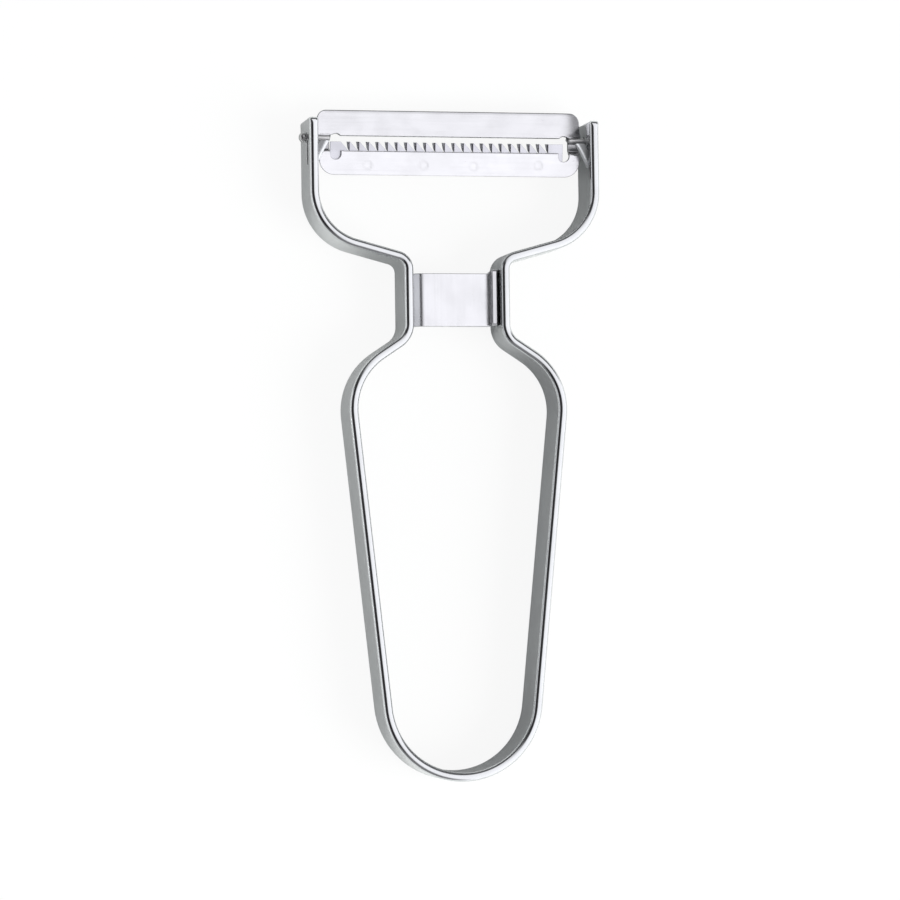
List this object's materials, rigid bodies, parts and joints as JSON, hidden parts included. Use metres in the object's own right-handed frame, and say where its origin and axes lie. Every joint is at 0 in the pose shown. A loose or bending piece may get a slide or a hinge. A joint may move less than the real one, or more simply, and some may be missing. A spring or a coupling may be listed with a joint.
{
  "type": "julienne peeler",
  "caption": "Y-shaped julienne peeler: a bent metal strip forms the handle loop, neck and yoke, with a swivelling toothed blade between the arms.",
  "frame": {"origin": "on the strip's resting edge, on its centre line at the end of the handle", "axes": "+Y along the peeler from the handle's end to the blade, +X across it, +Z across the strip's width, up from the surface it lies on"},
  "size_m": [0.0664, 0.1448, 0.012],
  "materials": {
    "polished_strip": "bright rolled strip with rounded edges",
    "bridge_sheet": "bright stamped sheet",
    "blade_sheet": "satin stamped sheet with ground edge",
    "tooth_sheet": "hardened bare sheet",
    "pin_steel": "drawn steel"
  },
  "bodies": {
    "frame": {"handle_strip": "polished_strip", "neck_bridge": "bridge_sheet"},
    "blade": {"blade_plate": "blade_sheet", "tooth_strip": "tooth_sheet", "left_pivot_pin": "pin_steel", "right_pivot_pin": "pin_steel"}
  },
  "joints": [
    {"name": "blade_swivel", "type": "hinge", "parent": "frame", "child": "blade", "pos_m": [0, 0.1376, 0.006], "axis": [1, 0, 0], "range_deg": [-25, 25]}
  ]
}
